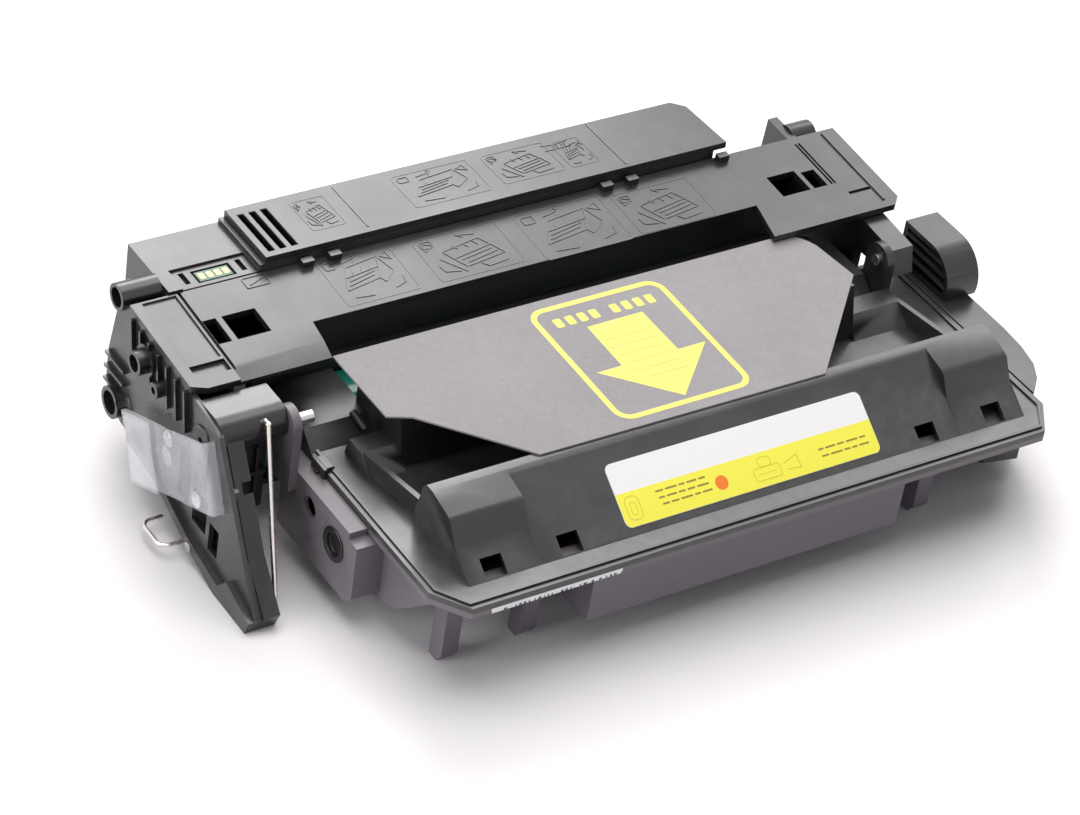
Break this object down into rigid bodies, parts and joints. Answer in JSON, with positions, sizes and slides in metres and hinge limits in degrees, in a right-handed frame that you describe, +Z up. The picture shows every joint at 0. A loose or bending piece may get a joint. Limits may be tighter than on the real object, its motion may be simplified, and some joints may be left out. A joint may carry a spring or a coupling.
{
  "type": "toner cartridge",
  "caption": "Laser printer toner cartridge: a flanged toner hopper with a grip bar, hinged to a drum unit with a pitched waste cover, geared rollers and a swinging drum shutter.",
  "frame": {"origin": "middle of the floor under the cartridge, at the middle of its outer box", "axes": "+X along the drum towards the drive coupling, +Y from the grip bar to the waste bin, +Z up"},
  "size_m": [0.3518, 0.2026, 0.082],
  "materials": {
    "black_plastic": "fine moulded grain, satin",
    "grey_plastic": "fine moulded grain, satin",
    "clear_film": "clear film, slightly frosted",
    "seal_film": "foil seal",
    "label": "printed label in fields of white and yellow",
    "white_label": "printed strip",
    "card": "grey card with a fine fleck",
    "steel": "bright drawn steel",
    "blade_rubber": "cast urethane strip",
    "ferrite": "bonded ferrite",
    "bearing_plastic": "natural acetal",
    "sleeve_metal": "blasted and coated",
    "gear_plastic": "natural acetal",
    "dark_gear_plastic": "black acetal",
    "vane_film": "stiff film",
    "drum_coating": "glossy green coating",
    "roller_rubber": "smooth conductive rubber",
    "chip_board": "small circuit board with bright pads"
  },
  "bodies": {
    "drum_unit": {"waste_bin": "black_plastic", "waste_cover": "black_plastic", "rear_cover": "black_plastic", "left_frame": "black_plastic", "right_frame": "black_plastic", "frame_screws": "steel", "drum_axle": "steel", "charger_bearings": "bearing_plastic", "charger_springs": "steel", "wiper_bracket": "steel", "wiper_lip": "blade_rubber", "wiper_screws": "steel", "chip_holder": "black_plastic", "memory_chip": "chip_board", "pivot_pins": "steel", "shutter_pins": "steel", "shutter_spring": "steel", "shutter_wire": "steel", "contact_loop": "steel", "pull_film": "clear_film"},
    "hopper_unit": {"hopper_tray": "grey_plastic", "hopper_lid": "black_plastic", "side_box": "grey_plastic", "gear_cover": "black_plastic", "end_handle": "black_plastic", "fill_cap": "grey_plastic", "outlet_seal": "seal_film", "front_label": "label", "bar_code_strip": "white_label", "protective_card": "card", "doctor_bracket": "steel", "doctor_lip": "blade_rubber", "doctor_screws": "steel", "magnet_core": "ferrite", "sleeve_bushings": "bearing_plastic", "idler_stud": "steel"},
    "developer_roller": {"developer_sleeve": "sleeve_metal", "sleeve_gear": "gear_plastic"},
    "idler": {"idler_gear": "gear_plastic"},
    "agitator": {"agitator_shaft": "grey_plastic", "agitator_vane": "vane_film", "agitator_gear": "gear_plastic"},
    "drum": {"drum_tube": "drum_coating", "drum_gear": "dark_gear_plastic", "drum_hub": "dark_gear_plastic"},
    "charger": {"charge_roller": "roller_rubber", "charge_shaft": "steel"},
    "shutter": {"drum_shutter": "black_plastic"}
  },
  "joints": [
    {"name": "unit_hinge", "type": "hinge", "parent": "drum_unit", "child": "hopper_unit", "pos_m": [0, 0.00005, 0.061], "axis": [-1, 0, 0], "range_deg": [0, 1.5], "stiffness_Nm_per_rad": 1, "springref_deg": -28.65},
    {"name": "drum_spin", "type": "hinge", "parent": "drum_unit", "child": "drum", "pos_m": [0, 0.03305, 0.03], "axis": [1, 0, 0], "continuous": true},
    {"name": "charger_spin", "type": "hinge", "parent": "drum_unit", "child": "charger", "pos_m": [0, 0.0437, 0.04845], "axis": [1, 0, 0], "continuous": true},
    {"name": "sleeve_spin", "type": "hinge", "parent": "hopper_unit", "child": "developer_roller", "pos_m": [0, 0.00912, 0.02578], "axis": [1, 0, 0], "continuous": true},
    {"name": "idler_spin", "type": "hinge", "parent": "hopper_unit", "child": "idler", "pos_m": [0, -0.00793, 0.02449], "axis": [1, 0, 0], "continuous": true},
    {"name": "agitator_spin", "type": "hinge", "parent": "hopper_unit", "child": "agitator", "pos_m": [0, -0.02845, 0.0272], "axis": [1, 0, 0], "continuous": true},
    {"name": "shutter_swing", "type": "hinge", "parent": "drum_unit", "child": "shutter", "pos_m": [0, 0.06505, 0.032], "axis": [1, 0, 0], "range_deg": [0, 60], "stiffness_Nm_per_rad": 0.03, "springref_deg": -57.3}
  ],
  "couplings": [
    {"joint": "sleeve_spin", "follows": "drum_spin", "ratio": -2.375},
    {"joint": "idler_spin", "follows": "drum_spin", "ratio": 1.7273},
    {"joint": "agitator_spin", "follows": "drum_spin", "ratio": -1.5833},
    {"joint": "charger_spin", "follows": "drum_spin", "ratio": -2.5}
  ]
}
